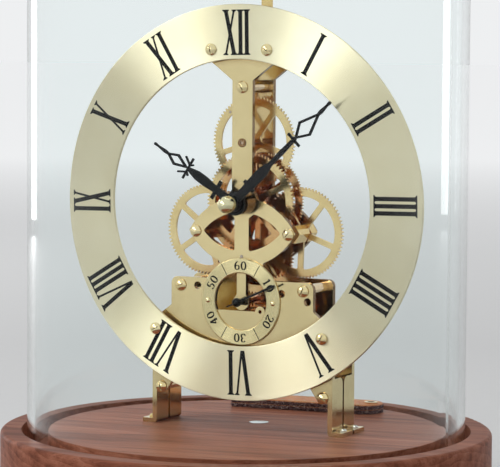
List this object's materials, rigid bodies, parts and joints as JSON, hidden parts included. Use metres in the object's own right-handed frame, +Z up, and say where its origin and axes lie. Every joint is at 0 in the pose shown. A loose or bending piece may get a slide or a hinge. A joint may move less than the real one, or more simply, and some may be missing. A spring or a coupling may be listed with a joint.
{
  "type": "mechanical desk clock",
  "caption": "Open-train mechanical desk clock with a chapter ring, seconds dial and bell, standing on a turned wooden base under a lift-off glass dome.",
  "frame": {"origin": "middle of the base's footprint, on the surface it stands on", "axes": "+Z up, the dial faces -Y, +X to the right as the dial is read"},
  "size_m": [0.175, 0.175, 0.247],
  "materials": {
    "walnut": "satin oiled walnut",
    "felt": "matt felt",
    "dome_glass": "clear polished glass",
    "plate_brass": "mirror polished and lacquered",
    "ring_brass": "circular satin brushed and lacquered",
    "wheel_brass": "fine satin, lacquered",
    "screw_brass": "polished",
    "arbor_steel": "turned and polished",
    "spring_steel": "blued",
    "screw_steel": "bright plated",
    "hand_black": "satin black",
    "tag_leather": "dyed, stitched edge"
  },
  "bodies": {
    "root": {"base": "walnut", "foot_pads": "felt", "base_screw": "screw_steel", "front_plate": "plate_brass", "rear_plate": "plate_brass", "plate_bushes": "plate_brass", "chapter_ring": "ring_brass", "chapter_ring_spacers": "plate_brass", "chapter_ring_screws": "screw_brass", "seconds_dial": "ring_brass", "seconds_dial_screws": "screw_brass", "pillars": "plate_brass", "wheel_posts": "plate_brass", "post_sleeves": "plate_brass", "front_plate_screws": "screw_brass", "rear_screws": "screw_brass", "left_post_nut": "screw_brass", "foot_screws": "screw_brass", "bell_post": "plate_brass", "bell": "plate_brass", "bell_nut": "screw_brass", "pallet_cock": "plate_brass", "escapement_bridge": "plate_brass", "bridge_pillars": "plate_brass", "hairspring": "spring_steel", "click_spring": "spring_steel", "key_tag": "tag_leather", "key_tag_eyelet": "screw_brass"},
    "dome": {"glass_dome": "dome_glass"},
    "hammer": {"hammer": "wheel_brass"},
    "barrel": {"barrel": "plate_brass", "barrel_cover": "plate_brass", "mainspring": "spring_steel"},
    "winding_arbor": {"winding_arbor": "arbor_steel", "ratchet_wheel": "arbor_steel"},
    "click": {"click": "spring_steel"},
    "intermediate": {"intermediate_arbor": "arbor_steel", "intermediate_wheel": "wheel_brass"},
    "idler": {"idler_wheel": "wheel_brass"},
    "centre": {"centre_arbor": "arbor_steel", "centre_wheel": "wheel_brass", "cannon_pinion": "arbor_steel", "friction_washer": "spring_steel", "minute_hand": "hand_black", "hand_nut": "screw_brass"},
    "minute_wheel": {"minute_wheel": "wheel_brass"},
    "hour": {"hour_wheel": "wheel_brass", "hour_hand": "hand_black"},
    "strike": {"strike_wheel": "wheel_brass", "strike_pins": "arbor_steel", "strike_arbor": "arbor_steel"},
    "third": {"third_arbor": "arbor_steel", "third_wheel": "wheel_brass"},
    "fourth": {"fourth_arbor": "arbor_steel", "fourth_wheel": "wheel_brass", "seconds_hand": "hand_black"},
    "escape": {"escape_arbor": "arbor_steel", "escape_wheel": "wheel_brass"},
    "lever": {"pallet_lever": "arbor_steel"},
    "balance": {"balance": "wheel_brass"}
  },
  "joints": [
    {"name": "dome_lift", "type": "slide", "parent": "root", "child": "dome", "axis": [0, 0, 1], "range_m": [0, 0.25]},
    {"name": "centre_turn", "type": "hinge", "parent": "root", "child": "centre", "pos_m": [0, 0.005, 0.1087], "axis": [0, 1, 0], "continuous": true},
    {"name": "idler_turn", "type": "hinge", "parent": "root", "child": "idler", "pos_m": [0.01836, 0.005, 0.0981], "axis": [0, 1, 0], "continuous": true},
    {"name": "intermediate_turn", "type": "hinge", "parent": "root", "child": "intermediate", "pos_m": [0.01249, 0.005, 0.07269], "axis": [0, 1, 0], "continuous": true},
    {"name": "barrel_turn", "type": "hinge", "parent": "root", "child": "barrel", "pos_m": [0.00451, 0.005, 0.05556], "axis": [0, 1, 0], "continuous": true},
    {"name": "minute_wheel_turn", "type": "hinge", "parent": "root", "child": "minute_wheel", "pos_m": [-0.01836, 0.005, 0.0981], "axis": [0, 1, 0], "continuous": true},
    {"name": "hour_turn", "type": "hinge", "parent": "root", "child": "hour", "pos_m": [0, 0.005, 0.1087], "axis": [0, 1, 0], "continuous": true},
    {"name": "strike_turn", "type": "hinge", "parent": "root", "child": "strike", "pos_m": [0, 0.005, 0.1299], "axis": [0, 1, 0], "continuous": true},
    {"name": "third_turn", "type": "hinge", "parent": "root", "child": "third", "pos_m": [0, 0.005, 0.08966], "axis": [0, 1, 0], "continuous": true},
    {"name": "fourth_turn", "type": "hinge", "parent": "root", "child": "fourth", "pos_m": [0, 0.005, 0.07367], "axis": [0, 1, 0], "continuous": true},
    {"name": "escape_turn", "type": "hinge", "parent": "root", "child": "escape", "pos_m": [-0.01169, 0.005, 0.06692], "axis": [0, 1, 0], "continuous": true},
    {"name": "winding_turn", "type": "hinge", "parent": "root", "child": "winding_arbor", "pos_m": [0.00451, 0.005, 0.05556], "axis": [0, 1, 0], "continuous": true},
    {"name": "click_lift", "type": "hinge", "parent": "root", "child": "click", "pos_m": [0.01583, 0.005, 0.05756], "axis": [0, 1, 0], "range_deg": [0, 6], "stiffness_Nm_per_rad": 0.002, "springref_deg": -5.73},
    {"name": "hammer_swing", "type": "hinge", "parent": "root", "child": "hammer", "pos_m": [-0.0054, 0.005, 0.1637], "axis": [0, 1, 0], "range_deg": [0, 6], "stiffness_Nm_per_rad": 0.005, "springref_deg": -6.88},
    {"name": "lever_swing", "type": "hinge", "parent": "root", "child": "lever", "pos_m": [-0.01484, 0.005, 0.06146], "axis": [0, 1, 0], "range_deg": [-4, 4]},
    {"name": "balance_swing", "type": "hinge", "parent": "root", "child": "balance", "pos_m": [-0.01784, 0.005, 0.05627], "axis": [0, 1, 0], "range_deg": [-135, 135], "stiffness_Nm_per_rad": 0.000006}
  ],
  "couplings": [
    {"joint": "idler_turn", "follows": "centre_turn", "ratio": -0.33333},
    {"joint": "intermediate_turn", "follows": "centre_turn", "ratio": 0.52083},
    {"joint": "barrel_turn", "follows": "centre_turn", "ratio": -0.065104},
    {"joint": "minute_wheel_turn", "follows": "centre_turn", "ratio": -0.33333},
    {"joint": "hour_turn", "follows": "centre_turn", "ratio": 0.083333},
    {"joint": "strike_turn", "follows": "centre_turn", "ratio": -0.33333},
    {"joint": "third_turn", "follows": "centre_turn", "ratio": -8.3333},
    {"joint": "fourth_turn", "follows": "centre_turn", "ratio": 60},
    {"joint": "escape_turn", "follows": "centre_turn", "ratio": -480}
  ]
}
